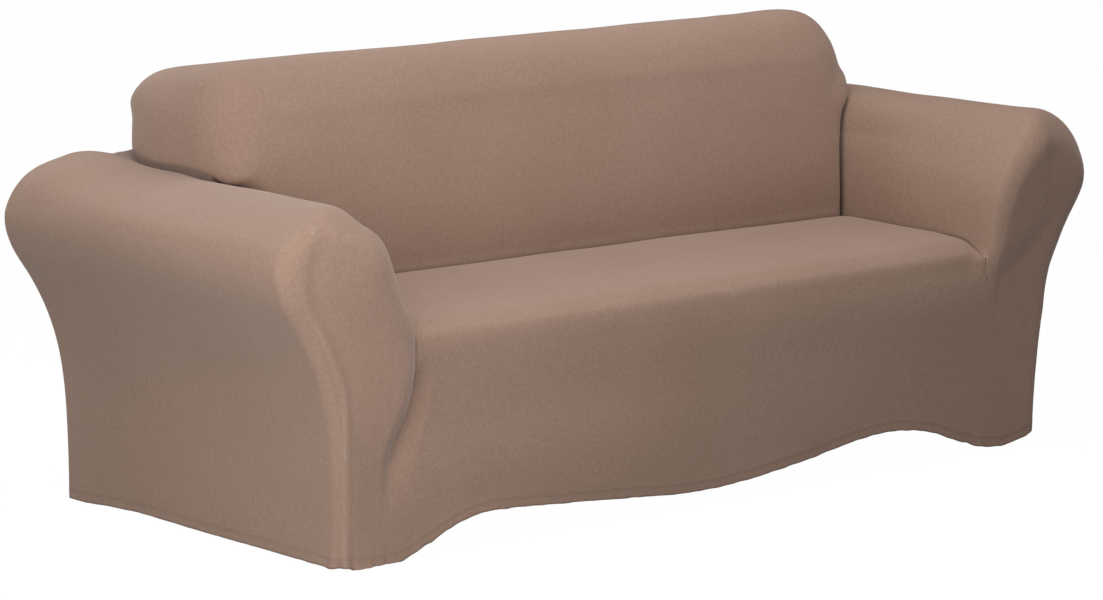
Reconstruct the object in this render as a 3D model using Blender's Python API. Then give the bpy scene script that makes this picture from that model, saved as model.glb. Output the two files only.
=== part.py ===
"""Stretch sofa slipcover: seven sewn panels of knit cloth, hollow, in the shape of the sofa they fit.

X runs along the sofa, -Y is its front and +Z is up. The origin is on the floor, under the middle of the cover.
Each panel is one open surface, laid out as a grid of points, whose thickness is added on the inside. Panels
stop a little short of each other at a seam. At a tuck, where the real cloth is pushed down between two parts
of the sofa, both panels turn inwards and lie face to face.
"""

import bpy
import bmesh
import numpy as np
from mathutils import Vector
from mathutils.kdtree import KDTree

# Driving sizes, in metres.
DEPTH = 0.870  # front of the arm facings to the outside back
SEAT_HALF = 0.768  # middle of the seat to the inside of an arm
BACK_HALF = 0.852  # middle of the back to its end, above the arms
BACK_TOP = 0.862  # floor to the top of the back, at its front edge
TOP_FALL = 0.024  # the rear edge of the top is this much lower
SEAT_HEIGHT = 0.445  # floor to the seat
THICKNESS = 0.002  # the knit
SEAM_EASE = 0.00015  # each panel stops this far short of a seam
SEAM_GAP = 0.0003  # two panels that lie face to face are this far apart
MERGE = 0.00005  # points closer than this are one point
RIM_ORDER = Vector((0.37, 0.61, 0.70))  # both edges of a seam are split into triangles in the same way along this
SHARPEST = 0.25  # limits how far the sharpest corner of a panel moves when its edges are drawn in

FRONT = -DEPTH / 2
REAR = DEPTH / 2
ARM_LINE = FRONT + 0.030  # the front of an arm at its foot; higher rows reach further forward

COLLECTION = "sofa_slipcover"
KNIT_COLOUR = (0.305, 0.200, 0.148, 1.0)
KNIT_ROUGHNESS = 0.9

# The arm's section, from the foot of its tuck beside the seat, up and over the roll, and down to the hem.
# Radius is that of the round front end, reach is how far that end stands in front of ARM_LINE, settle is how
# much lower the row is at the rear than at the front, and lean how much further out it is at the front.
ARM_SECTION = [
    # out, height, radius, reach, settle, lean
    (0.000, 0.405, 0.048, 0.018, 0.000, 0.000),
    (0.000, 0.439, 0.048, 0.020, 0.000, 0.005),
    (-0.004, 0.510, 0.054, 0.026, 0.000, 0.036),
    (-0.001, 0.575, 0.062, 0.030, 0.000, 0.064),
    (0.012, 0.630, 0.070, 0.030, 0.002, 0.086),
    (0.042, 0.668, 0.076, 0.028, 0.006, 0.086),
    (0.084, 0.689, 0.080, 0.026, 0.012, 0.062),
    (0.138, 0.694, 0.080, 0.024, 0.013, 0.046),
    (0.180, 0.692, 0.078, 0.022, 0.021, 0.034),
    (0.230, 0.677, 0.076, 0.020, 0.014, 0.020),
    (0.275, 0.649, 0.074, 0.020, 0.004, 0.008),
    (0.309, 0.610, 0.074, 0.020, 0.000, 0.000),
    (0.324, 0.566, 0.074, 0.020, 0.000, 0.000),
    (0.317, 0.522, 0.074, 0.020, 0.000, 0.000),
    (0.294, 0.480, 0.072, 0.018, 0.000, 0.000),
    (0.266, 0.440, 0.068, 0.016, 0.000, 0.000),
    (0.240, 0.396, 0.062, 0.014, 0.000, 0.000),
    (0.218, 0.350, 0.054, 0.012, 0.000, 0.000),
    (0.201, 0.302, 0.046, 0.010, 0.000, 0.000),
    (0.189, 0.251, 0.040, 0.008, 0.000, 0.000),
    (0.182, 0.195, 0.036, 0.006, 0.000, 0.000),
    (0.177, 0.123, 0.034, 0.004, 0.000, 0.000),
    (0.175, 0.051, 0.033, 0.002, 0.000, 0.000),
    (0.174, 0.000, 0.032, 0.002, 0.000, 0.000),
]
JOIN_ROW = 6  # the row that runs under the end of the back
CREST_ROW = 7  # the row on top of the roll, where the facing has its tip
ARM_CHANGE = 0.42  # the front section has become the rear one this far behind ARM_LINE

# The face of the back, and the round edge down each of its sides.
BACK_FACE = [
    # height, behind ARM_LINE, edge radius
    (0.405, 0.412, 0.030),
    (0.439, 0.412, 0.030),
    (0.510, 0.408, 0.034),
    (0.575, 0.415, 0.042),
    (0.630, 0.427, 0.054),
    (0.669, 0.437, 0.068),
    (0.688, 0.442, 0.080),
    (0.757, 0.462, 0.100),
    (0.805, 0.476, 0.090),
    (0.862, 0.492, 0.070),
]
BACK_CORNER = 0.112  # radius of the two top corners

# The seam between the front drop and the facing, on each side.
FACING_SEAM = [
    # height, from the middle
    (0.405, 0.768),
    (0.345, 0.772),
    (0.285, 0.784),
    (0.225, 0.804),
    (0.164, 0.824),
    (0.103, 0.834),
    (0.000, 0.838),
]
LOW_HEIGHTS = (0.36, 0.32, 0.28, 0.24, 0.20, 0.15, 0.10, 0.05, 0.0)  # rows of the panels along that seam
FADES = {
    # side: (height below which the tuck beside the front drop is gone, height above which it is whole)
    -1: (0.10, 0.28),
    1: (0.25, 0.37),
}

# The elasticated hem along the front.
FRONT_HEM = [
    # from the middle, height
    (-0.946, 0.000),
    (-0.815, 0.000),
    (-0.785, 0.004),
    (-0.740, 0.024),
    (-0.690, 0.047),
    (-0.660, 0.057),
    (-0.590, 0.068),
    (-0.490, 0.061),
    (-0.330, 0.050),
    (-0.180, 0.037),
    (-0.070, 0.029),
    (0.040, 0.030),
    (0.150, 0.039),
    (0.270, 0.053),
    (0.380, 0.069),
    (0.460, 0.077),
    (0.560, 0.071),
    (0.620, 0.058),
    (0.680, 0.036),
    (0.740, 0.017),
    (0.790, 0.004),
    (0.820, 0.000),
    (0.946, 0.000),
]
HEM_REACH = 0.24  # the cloth takes up the rise of its hem below this height
REAR_HEM_RISE = 0.020

SEAT_FRONT_RADIUS = 0.060  # the front edge of the seat
SEAT_EDGE_RADIUS = 0.016  # where the seat turns down into its tucks
SEAT_CORNER = 0.035  # the seat's rear corners, in plan
TUCK = 0.018  # length of cloth that lies face to face in a tuck
DROP_REACH = 0.002  # the front drop hangs this far in front of ARM_LINE where it has no tuck
DROP_SETBACK = 0.013  # beside a whole tuck it hangs this much further back
TIP_DRAW = 0.6  # just below its tip, a facing is drawn in by this share of its width
BACK_PLANE = 0.412  # the seat's rear tuck, behind ARM_LINE
REAR_RADIUS = 0.020  # round edge behind the arms
JOIN_DROP = 0.014  # the foot of the back sinks by this much as it rounds the rear of an arm

# The round edge behind the back, which meets the outside back at a slant.
BACK_REAR = [
    # height, depth
    (0.675, 0.185),
    (0.757, 0.165),
    (0.862, 0.100),
]

FRONT_TURNS = np.radians([65.0, 40.0, 18.0, 0.0])  # from the side of an arm to its front, at the facing's seam
FACING_OUTER_TURNS = np.radians([65.0, 78.0, 90.0])  # from a facing's outer seam to its front
FACING_TURNS = np.radians([0.0, 12.0, 25.0])  # from the front of a facing towards its inner edge
SEAT_FRONT_TURNS = np.radians([0.0, 22.5, 45.0, 67.5, 90.0])
EDGE_TURNS = np.radians([0.0, 30.0, 60.0, 90.0])
REAR_TURNS = np.radians([0.0, 30.0, 60.0, 90.0])
BACK_REAR_TURNS = np.radians([0.0, 20.0, 40.0, 60.0])
CORNER_TURNS = np.radians([0.0, 18.0, 36.0, 54.0, 72.0, 90.0])
ARM_STATIONS = (ARM_LINE + 0.14, ARM_LINE + 0.25, ARM_LINE + 0.35)  # depths at which an arm's rows have a point
DECK_STATIONS = (ARM_LINE + 0.15, ARM_LINE + 0.24, ARM_LINE + 0.32)  # depths of the rows of the seat's deck
BACK_COLUMNS = 9
SEAT_COLUMNS = 15
FACING_COLUMNS = 3  # on the flat of a facing, between its two round sides
REAR_COLUMNS = 3  # from the join of arm and back to the round edge behind them

# A place inside each part of the cover; each panel faces away from the one it encloses.
INSIDE_ARM = (SEAT_HALF + 0.12, 0.0, 0.42)
INSIDE_SEAT = (0.0, 0.0, 0.20)
INSIDE_BACK = (0.0, REAR - 0.15, 0.60)


def column(table, index):
    return np.array([row[index] for row in table])


def look_up(table, at, index=1):
    """Reads a column of a table at a height or a place between its rows."""
    return float(np.interp(at, column(table, 0), column(table, index)))


def facing_seam(height):
    return float(np.interp(height, column(FACING_SEAM, 0)[::-1], column(FACING_SEAM, 1)[::-1]))


def front_hem(x):
    return look_up(FRONT_HEM, x)


def lifted(height, hem):
    """A height on a panel whose hem stands off the floor; the cloth takes that up over its lowest part."""
    return height + hem * max(0.0, 1.0 - height / HEM_REACH)


def fade(height, side):
    """From 0 where the tuck beside the front drop has gone to 1 where it is whole."""
    foot, head = FADES[side]
    share = np.clip((height - foot) / (head - foot), 0.0, 1.0)
    return float(share * share * (3.0 - 2.0 * share))


def outline_normals(points):
    """Normals of the arm's section towards the inside of the arm."""
    along = np.gradient(points, axis=0)
    inwards = np.column_stack((along[:, 1], -along[:, 0]))
    return inwards / np.linalg.norm(inwards, axis=1)[:, None]


ARM_REAR = np.column_stack((SEAT_HALF + column(ARM_SECTION, 0), column(ARM_SECTION, 1) - column(ARM_SECTION, 4)))
ARM_FORE = np.column_stack((SEAT_HALF + column(ARM_SECTION, 0) + column(ARM_SECTION, 5), column(ARM_SECTION, 1)))
REAR_INWARDS = outline_normals(ARM_REAR)
FORE_INWARDS = outline_normals(ARM_FORE)


def arm_front(row, turn):
    """A point on the round front end of an arm; turn is 0 on its side and 90 degrees on its front."""
    radius, reach = ARM_SECTION[row][2:4]
    x, z = ARM_FORE[row] + FORE_INWARDS[row] * radius * (1.0 - np.cos(turn))
    return (x, ARM_LINE - reach + radius * (1.0 - np.sin(turn)), z)


def arm_along(row, y):
    """A point of an arm's row between its two ends."""
    share = float(np.clip((y - ARM_LINE) / ARM_CHANGE, 0.0, 1.0))
    x, z = ARM_FORE[row] * (1.0 - share) + ARM_REAR[row] * share
    return (x, y, z)


def arm_rear(row, turn):
    """A point on the round edge behind an arm; turn is 0 on its side and 90 degrees on its rear."""
    x, z = ARM_REAR[row] + REAR_INWARDS[row] * REAR_RADIUS * (1.0 - np.cos(turn))
    return (x, REAR - REAR_RADIUS * (1.0 - np.sin(turn)), z)


def back_rear(x, z, out_x, out_z, turn):
    """A point on the round edge behind the back, from its side or top round to the seam."""
    last = BACK_REAR_TURNS[-1]
    depth = look_up(BACK_REAR, z)
    radius = depth / np.sin(last)
    inset = radius * (1.0 - np.cos(turn))
    return (x - out_x * inset, REAR - depth + radius * np.sin(turn), z - out_z * (inset + TOP_FALL))


def join_rear(turn):
    """The same at the foot of the back, where it rounds the rear of an arm."""
    x, y, z = back_rear(*ARM_REAR[JOIN_ROW], 1.0, 0.0, turn)
    return (x, y, z - JOIN_DROP * (1.0 - np.cos(turn)))


def back_face(height):
    return ARM_LINE + look_up(BACK_FACE, height, 1)


def back_edge_radius(height):
    return look_up(BACK_FACE, height, 2)


def back_outline():
    """One side of the back, from its tuck to its top: x, z and the outward direction of each point."""
    outline = []
    for row in range(JOIN_ROW + 1):
        x, z = ARM_REAR[row]
        outline.append((x - SEAM_GAP, z, 1.0, 0.0))
    for turn in CORNER_TURNS:
        x = BACK_HALF - BACK_CORNER * (1.0 - np.cos(turn))
        z = BACK_TOP - BACK_CORNER * (1.0 - np.sin(turn))
        outline.append((x, z, np.cos(turn), np.sin(turn)))
    return outline


def between(start, end, count):
    """Points spaced evenly from start to end, both included."""
    return [tuple(np.array(start) * (1.0 - t) + np.array(end) * t) for t in np.linspace(0.0, 1.0, count)]


def on_side(point, side):
    return (side * point[0], point[1], point[2])


def mirrored(points):
    return [on_side(point, -1.0) for point in points]


def tray_rows(left_ladders, right_ladders, middle_count):
    """Rows of a panel that turns down along its sides and its top.

    Each ladder runs from the flat of the panel out to its edge. The last ladder of each side stands square
    to the top edge, so its rungs give the rows that finish that edge.
    """
    rows = []
    for left, right in zip(left_ladders, right_ladders):
        rows.append(left[:0:-1] + between(left[0], right[0], middle_count) + right[1:])
    top = [between(*rungs, middle_count) for rungs in zip(left_ladders[-1], right_ladders[-1])]
    return rows, top


def add_grid(cloth, rows):
    """Adds a grid of four-sided faces through rows of points."""
    grid = [[cloth.verts.new(point) for point in row] for row in rows]
    for lower, upper in zip(grid, grid[1:]):
        for a, b, c, d in zip(lower, lower[1:], upper[1:], upper):
            cloth.faces.new((a, b, c, d))


def knit(name):
    material = bpy.data.materials.new(name)
    material.use_nodes = True
    shader = material.node_tree.nodes["Principled BSDF"]
    shader.inputs["Base Color"].default_value = KNIT_COLOUR
    shader.inputs["Roughness"].default_value = KNIT_ROUGHNESS
    shader.inputs["Metallic"].default_value = 0.0
    return material


def lay_out(name, grids, inside):
    """Sews grids of points into one open sheet that faces away from the point inside."""
    cloth = bmesh.new()
    for rows in grids:
        add_grid(cloth, rows)
    bmesh.ops.remove_doubles(cloth, verts=cloth.verts, dist=MERGE)
    bmesh.ops.dissolve_degenerate(cloth, edges=cloth.edges, dist=MERGE)
    bmesh.ops.recalc_face_normals(cloth, faces=cloth.faces)
    centre = Vector(inside)
    facing_out = sum(f.normal.dot(f.calc_center_median() - centre) * f.calc_area() for f in cloth.faces)
    if facing_out < 0.0:
        bmesh.ops.reverse_faces(cloth, faces=cloth.faces)
    cloth.normal_update()
    return name, cloth


def shared_normals(sheets):
    """The normal of each point of each sheet, the same for all sheets that are sewn together there."""
    points = [(vert, name) for name, cloth in sheets for vert in cloth.verts]
    tree = KDTree(len(points))
    own = []
    for index, (vert, name) in enumerate(points):
        tree.insert(vert.co, index)
        own.append(sum((loop.face.normal * loop.calc_angle() for loop in vert.link_loops), Vector()))
    tree.balance()
    normals = {name: [] for name, cloth in sheets}
    for vert, name in points:
        near = [own[index] for place, index, distance in tree.find_range(vert.co, MERGE)]
        normals[name].append(sum(near, Vector()).normalized())
    return normals


def ease_edges(cloth):
    """Draws the edge of a sheet in a little, square to the edge, which leaves the gap of a seam."""
    square = {}
    for edge in cloth.edges:
        if edge.is_boundary:
            loop = edge.link_loops[0]
            along = loop.link_loop_next.vert.co - loop.vert.co
            inwards = loop.face.normal.cross(along).normalized()
            for vert in edge.verts:
                square.setdefault(vert, []).append(inwards)
    for vert, directions in square.items():
        middle = sum(directions, Vector()).normalized()
        vert.co += middle * SEAM_EASE / max(middle.dot(directions[0]), SHARPEST)


def thicken(cloth, normals):
    """Gives a sheet its thickness, on the inside, with mitred edges where it meets its neighbours."""
    outer = list(cloth.faces)
    rims = [edge.link_loops[0] for edge in cloth.edges if edge.is_boundary]
    rims = [(loop.vert, loop.link_loop_next.vert) for loop in rims]
    pairs = zip(list(cloth.verts), normals)
    inner = {vert: cloth.verts.new(vert.co - normal * THICKNESS) for vert, normal in pairs}
    for face in outer:
        cloth.faces.new([inner[vert] for vert in reversed(face.verts)])
    for start, end in rims:
        if start.co.dot(RIM_ORDER) < end.co.dot(RIM_ORDER):
            corners = (end, start, inner[end]), (start, inner[start], inner[end])
        else:
            corners = (end, start, inner[start]), (end, inner[start], inner[end])
        for corner in corners:
            cloth.faces.new(corner)


def make_panels(sheets):
    """Turns the laid-out sheets into the objects of the cover."""
    normals = shared_normals(sheets)
    for name, cloth in sheets:
        ease_edges(cloth)
        thicken(cloth, normals[name])
        mesh = bpy.data.meshes.new(name)
        cloth.to_mesh(mesh)
        cloth.free()
        mesh.shade_smooth()
        panel = bpy.data.objects.new(name, mesh)
        panel.data.materials.append(knit(name + "_knit"))
        bpy.data.collections[COLLECTION].objects.link(panel)


def make_arm(name, side):
    """Inside arm, roll and outside arm in one panel, from the facing to the outside back."""
    last = len(ARM_SECTION)
    join_height = ARM_REAR[JOIN_ROW][1]
    join_depth = back_face(join_height) + back_edge_radius(join_height)
    fore = []
    for row in range(last):
        end = join_depth
        if row < JOIN_ROW:
            end = back_face(ARM_REAR[row][1]) + back_edge_radius(ARM_REAR[row][1])
        points = [arm_front(row, turn) for turn in FRONT_TURNS]
        points += [arm_along(row, y) for y in (*ARM_STATIONS, end)]
        fore.append(points)
    join = arm_along(JOIN_ROW, join_depth)
    aft = [between(join, join_rear(0.0), REAR_COLUMNS)[:-1] + [join_rear(turn) for turn in BACK_REAR_TURNS]]
    for row in range(JOIN_ROW + 1, last):
        points = between(arm_along(row, join_depth), arm_rear(row, 0.0), REAR_COLUMNS)[:-1]
        aft.append(points + [arm_rear(row, turn) for turn in REAR_TURNS])
    grids = [[[on_side(point, side) for point in points] for points in rows] for rows in (fore, aft)]
    return lay_out(name, grids, on_side(INSIDE_ARM, side))


def facing_inner(height, side, turn_share, tuck=0.0):
    """A point on a facing's inner edge below the seat, turn_share of the way round to its seam."""
    whole = fade(height, side) * np.pi / 2
    turn = whole * turn_share
    radius = ARM_SECTION[0][2]
    drop = front_drop(height, side)
    plane = drop - (radius - SEAT_EDGE_RADIUS) * (1.0 - np.cos(whole))
    flat = facing_seam(height) + radius * np.sin(whole) + TUCK * np.cos(whole)
    x = flat - radius * np.sin(turn) - tuck * np.cos(turn)
    y = plane + radius * (1.0 - np.cos(turn)) + tuck * np.sin(turn)
    return (x, y, height)


def front_drop(height, side):
    """Where the front drop hangs at one of its ends."""
    return ARM_LINE - DROP_REACH + DROP_SETBACK * fade(height, side)


def make_facing(name, side):
    """The facing on an arm's front end, from a tip on the roll down to the hem."""
    shares = FACING_TURNS / (np.pi / 2)
    main = []
    tuck = []
    for k in range(len(ARM_SECTION) - CREST_ROW):
        outer = [arm_front(CREST_ROW + k, turn) for turn in FACING_OUTER_TURNS]
        row = CREST_ROW - k
        if row >= 0:
            inner = [arm_front(row, np.pi / 2 - turn) for turn in FACING_TURNS]
        else:
            height = LOW_HEIGHTS[-row - 1]
            inner = [facing_inner(height, side, share) for share in shares]
        if k == 0:
            main.append([outer[0]] * (len(outer) + FACING_COLUMNS + len(inner)))
            continue
        if k == 1:
            middle = (np.array(outer[-1]) + np.array(inner[0])) / 2
            inner[0] = tuple(middle * TIP_DRAW + np.array(inner[0]) * (1.0 - TIP_DRAW))
            outer[-1] = tuple(middle * TIP_DRAW + np.array(outer[-1]) * (1.0 - TIP_DRAW))
        main.append(outer + between(outer[-1], inner[0], FACING_COLUMNS + 2)[1:-1] + inner)
        if row == 0:
            edge = [arm_front(0, turn) for turn in FRONT_TURNS]
            edge.append((edge[-1][0], edge[-1][1] + TUCK, edge[-1][2]))
            tuck.append(edge)
        elif row < 0:
            edge = [facing_inner(height, side, share) for share in 1.0 - FRONT_TURNS / (np.pi / 2)]
            edge.append(facing_inner(height, side, 1.0, TUCK))
            tuck.append(edge)
    grids = [[[on_side(point, side) for point in points] for points in rows] for rows in (main, tuck)]
    return lay_out(name, grids, on_side(INSIDE_ARM, side))


def seat_profile(side):
    """The seat panel's run from the hem, up the front drop and back over the deck: y, z and outward y, z."""
    run = []
    for height in reversed(LOW_HEIGHTS):
        run.append((front_drop(height, side), height, -1.0, 0.0))
    hub_y = front_drop(SEAT_HEIGHT, side) + SEAT_FRONT_RADIUS
    hub_z = SEAT_HEIGHT - SEAT_FRONT_RADIUS
    for turn in SEAT_FRONT_TURNS:
        out_y, out_z = -np.cos(turn), np.sin(turn)
        run.append((hub_y + SEAT_FRONT_RADIUS * out_y, hub_z + SEAT_FRONT_RADIUS * out_z, out_y, out_z))
    for depth in DECK_STATIONS:
        run.append((depth, SEAT_HEIGHT, 0.0, 1.0))
    return run


def seat_ladders(side):
    """The seat panel's edge on one side: each ladder runs from the flat out into the tuck."""
    ladders = []
    for y, z, out_y, out_z in seat_profile(side):
        whole = fade(z, side) * np.pi / 2
        seam = facing_seam(z) - SEAM_GAP
        flat = seam - SEAT_EDGE_RADIUS * np.sin(whole) - TUCK * np.cos(whole)
        ladder = []
        for turn, tuck in ((0.0, 0.0), (0.5 * whole, 0.0), (whole, 0.0), (whole, TUCK)):
            x = flat + SEAT_EDGE_RADIUS * np.sin(turn) + tuck * np.cos(turn)
            sink = SEAT_EDGE_RADIUS * (1.0 - np.cos(turn)) + tuck * np.sin(turn)
            ladder.append((x, y - out_y * sink, z - out_z * sink))
        ladders.append(ladder)
    corner_x = SEAT_HALF - SEAM_GAP - SEAT_CORNER
    corner_y = ARM_LINE + BACK_PLANE - SEAM_GAP - SEAT_CORNER
    for around in EDGE_TURNS:
        ladder = []
        for turn, tuck in ((0.0, 0.0), (np.pi / 4, 0.0), (np.pi / 2, 0.0), (np.pi / 2, TUCK)):
            reach = SEAT_CORNER - SEAT_EDGE_RADIUS * (1.0 - np.sin(turn))
            sink = SEAT_EDGE_RADIUS * (1.0 - np.cos(turn)) + tuck
            x = corner_x + reach * np.cos(around)
            y = corner_y + reach * np.sin(around)
            ladder.append((x, y, SEAT_HEIGHT - sink))
        ladders.append(ladder)
    return ladders


def make_seat():
    """Seat deck and front drop in one panel, tucked in beside the arms and under the back."""
    left = [mirrored(ladder) for ladder in seat_ladders(-1)]
    rows, top = tray_rows(left, seat_ladders(1), SEAT_COLUMNS)
    rows = [[(x, y, lifted(z, front_hem(x))) for x, y, z in row] for row in rows]
    return lay_out("seat_front", [rows, top], INSIDE_SEAT)


def make_inside_back():
    """The back's face, with its top and ends carried to the rear seam."""
    ladders = []
    for x, z, out_x, out_z in back_outline():
        radius = back_edge_radius(z)
        ladder = []
        for turn in EDGE_TURNS:
            inset = radius * (1.0 - np.sin(turn))
            height = z - out_z * inset
            ladder.append((x - out_x * inset, back_face(height) + radius * (1.0 - np.cos(turn)), height))
        ladders.append(ladder)
    rows, top = tray_rows([mirrored(ladder) for ladder in ladders], ladders, BACK_COLUMNS)

    turns = BACK_REAR_TURNS
    start = between(ladders[JOIN_ROW][-1], join_rear(0.0), REAR_COLUMNS)[:-1]
    edge = [start + [join_rear(turn) for turn in turns]]
    for point, ladder in list(zip(back_outline(), ladders))[JOIN_ROW + 1:]:
        start = between(ladder[-1], back_rear(*point, 0.0), REAR_COLUMNS)[:-1]
        edge.append(start + [back_rear(*point, turn) for turn in turns])
    across = [between(mirrored([point])[0], point, BACK_COLUMNS) for point in edge[-1]]
    over = [list(points) for points in zip(*across)]
    strip = [mirrored(points) for points in edge[:-1]] + over + edge[-2::-1]
    return lay_out("inside_back", [rows, top, strip], INSIDE_BACK)


def make_outside_back():
    """The flat rear panel, whose outline follows the arms and the back."""
    last = BACK_REAR_TURNS[-1]
    edge = [arm_rear(row, REAR_TURNS[-1]) for row in range(len(ARM_SECTION) - 1, JOIN_ROW, -1)]
    edge.append(join_rear(last))
    edge += [back_rear(*point, last) for point in back_outline()[JOIN_ROW + 1:]]
    rows = [between(mirrored([point])[0], point, BACK_COLUMNS) for point in edge]
    half = rows[0][-1][0]
    rows[0] = [(x, y, z + REAR_HEM_RISE * (1.0 - (x / half) ** 2) ** 2) for x, y, z in rows[0]]
    return lay_out("outside_back", [rows], INSIDE_SEAT)


def main():
    for item in list(bpy.data.objects):
        bpy.data.objects.remove(item)
    bpy.context.scene.collection.children.link(bpy.data.collections.new(COLLECTION))
    sheets = [make_seat(), make_inside_back(), make_outside_back()]
    for name, side in (("left", -1.0), ("right", 1.0)):
        sheets.append(make_arm("arm_" + name, side))
        sheets.append(make_facing("arm_front_" + name, side))
    make_panels(sheets)


main()
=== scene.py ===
# %% [markdown]
# # A stretch slipcover that has taken the shape of its sofa
#
# A fitted slipcover is a bag without a bottom: seven pieces of a stretch knit, sewn together and pulled over a
# sofa, whose shape they then show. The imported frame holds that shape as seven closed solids. This script makes
# the cloth that is seen: each panel as one fine sheet on the same lines, with folds, seams and a stitched hem.

# %% Load the frame
import math
from functools import partial

import bmesh
import bpy
import numpy as np
from mathutils import Matrix, Vector, noise
from mathutils.bvhtree import BVHTree
from mathutils.kdtree import KDTree


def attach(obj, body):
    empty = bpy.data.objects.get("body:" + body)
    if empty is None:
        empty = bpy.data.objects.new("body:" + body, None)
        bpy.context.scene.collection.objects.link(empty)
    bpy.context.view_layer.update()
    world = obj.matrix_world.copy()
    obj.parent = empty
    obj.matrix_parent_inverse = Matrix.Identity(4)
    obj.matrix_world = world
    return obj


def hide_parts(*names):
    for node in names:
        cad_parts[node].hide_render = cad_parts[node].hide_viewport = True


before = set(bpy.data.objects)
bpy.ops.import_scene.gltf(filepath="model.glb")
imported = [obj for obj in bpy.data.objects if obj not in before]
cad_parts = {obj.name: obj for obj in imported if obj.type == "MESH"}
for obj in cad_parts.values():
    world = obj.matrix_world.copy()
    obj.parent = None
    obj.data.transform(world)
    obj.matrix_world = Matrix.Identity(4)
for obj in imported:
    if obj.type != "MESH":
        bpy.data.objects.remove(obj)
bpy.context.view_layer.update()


def placed(name, data):
    """A new object in the scene."""
    item = bpy.data.objects.new(name, data)
    bpy.context.scene.collection.objects.link(item)
    return item


# %% [markdown]
# ## Where it is seen from
#
# From the left front and just above the back, through a long lens that keeps the far arm nearly as large as
# the near one.

# %% Camera
CAMERA_YAW = math.radians(-42.15)
CAMERA_PITCH = math.radians(9.87)
CAMERA_ROLL = math.radians(0.588)
CAMERA_DISTANCE = 9.3165
CAMERA_TARGET = Vector((-0.0552, 0.0125, 0.3520))
SENSOR = 36.0  # mm
CAMERA_LENS = 151.93  # mm
FARTHEST = 100.0


def camera_matrix():
    """Turned by yaw, pitch and roll, and then away from the target."""
    turned = Matrix.Rotation(CAMERA_YAW, 4, "Z") @ Matrix.Rotation(math.pi / 2 - CAMERA_PITCH, 4, "X")
    turned @= Matrix.Rotation(CAMERA_ROLL, 4, "Z")
    return Matrix.Translation(CAMERA_TARGET) @ turned @ Matrix.Translation((0.0, 0.0, CAMERA_DISTANCE))


data = bpy.data.cameras.new("camera")
data.sensor_width, data.lens, data.clip_end = SENSOR, CAMERA_LENS, FARTHEST
camera = placed("camera", data)
camera.matrix_world = camera_matrix()
bpy.context.scene.camera = camera
print("camera at", [round(v, 2) for v in camera.matrix_world.translation])

# %% [markdown]
# ## The studio
#
# A large soft light stands close by on the left, no higher than the back, so the front darkens towards the far
# arm. A second one overhead lights the tops and the seat. A weak one behind on the left keeps the near arm's
# outer side from going dark. The table is a plain white that doesn't shine back on the cloth.

# %% Light and floor
LIT = Vector((-0.35, 0.0, 0.40))  # what the lights are aimed at
LIGHTS = [  # name, place, width and height, watts
    ("left", (-2.05, -1.56, 1.0), (2.2, 1.8), 48.0),
    ("above", (0.35, -0.5, 2.7), (1.6, 1.6), 40.0),
    ("behind", (-1.5, 1.4, 1.9), (1.6, 1.6), 18.0),
]
ROOM_COLOUR = "FFEEE2"
ROOM_STRENGTH = 0.180
FLOOR_HALF = 20.0
FLOOR_LOOK = {  # black to the lights, and as bright by itself as white paper in full light
    "Base Color": (0.02, 0.02, 0.02, 1.0), "Roughness": 0.9, "Specular IOR Level": 0.0,
    "Emission Color": (1.0, 1.0, 1.0, 1.0), "Emission Strength": 0.99,
}


def colour(code):
    """An sRGB colour written as six hex digits, as linear red, green, blue and alpha."""
    parts = [int(code[at:at + 2], 16) / 255.0 for at in (0, 2, 4)]
    linear = [part / 12.92 if part <= 0.04045 else ((part + 0.055) / 1.055) ** 2.4 for part in parts]
    return (*linear, 1.0)


def fill(node, inputs):
    """Fills a node's inputs, by name or in order, each with a value or with a socket that it is linked to."""
    for key, value in inputs.items() if isinstance(inputs, dict) else enumerate(inputs):
        if isinstance(value, bpy.types.NodeSocket):
            node.id_data.links.new(value, node.inputs[key])
        elif value is not None:
            node.inputs[key].default_value = value


def add_node(tree, kind, settings=None, inputs=(), output=0):
    """Adds a node and returns one of its outputs. Settings go by name; in one word they are its operation."""
    node = tree.nodes.new(kind)
    named = {"operation": settings} if isinstance(settings, str) else settings or {}
    for key, value in named.items():
        setattr(node, key, value)
    fill(node, inputs)
    return node.outputs[output]


def new_material(name):
    """A material with a Principled shader and its output only, that shader, and a short way to add nodes."""
    material = bpy.data.materials.new(name)
    material.use_nodes = True

    def wire(kind, *rest):
        return add_node(material.node_tree, "ShaderNode" + kind, *rest)

    return material, material.node_tree.nodes["Principled BSDF"], wire


def add_floor():
    """A white table that is lit from below as well, so that no shadow stays on it."""
    material, shader = new_material("studio_floor")[:2]
    fill(shader, FLOOR_LOOK)
    mesh = bpy.data.meshes.new("floor")
    corners = [(x * FLOOR_HALF, y * FLOOR_HALF, 0.0) for x, y in ((-1, -1), (1, -1), (1, 1), (-1, 1))]
    mesh.from_pydata(corners, [], [(0, 1, 2, 3)])
    mesh.materials.append(material)
    item = placed("floor", mesh)
    item.visible_diffuse = False


def add_room():
    world = bpy.data.worlds.new("room")
    bpy.context.scene.world = world
    world.use_nodes = True
    fill(world.node_tree.nodes["Background"], {"Color": colour(ROOM_COLOUR), "Strength": ROOM_STRENGTH})


add_floor()
add_room()
for name, place, size, watts in LIGHTS:
    data = bpy.data.lights.new(name, "AREA")
    data.shape = "RECTANGLE"
    data.size, data.size_y = size
    data.energy = watts
    light = placed(name, data)
    light.location = place
    light.rotation_euler = (LIT - light.location).to_track_quat("-Z", "Y").to_euler()
bpy.context.scene.view_settings.view_transform = "Standard"

# %% [markdown]
# ## The lines of the sofa under the cloth
#
# An arm is a section that runs up from a tuck beside the seat, over the roll and down to the hem. The back is
# a face that leans, with round sides. Sizes are metres, and millimetres in the tables that are handed to mm.
# X runs along the sofa, -Y is its front and Z is up.

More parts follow.
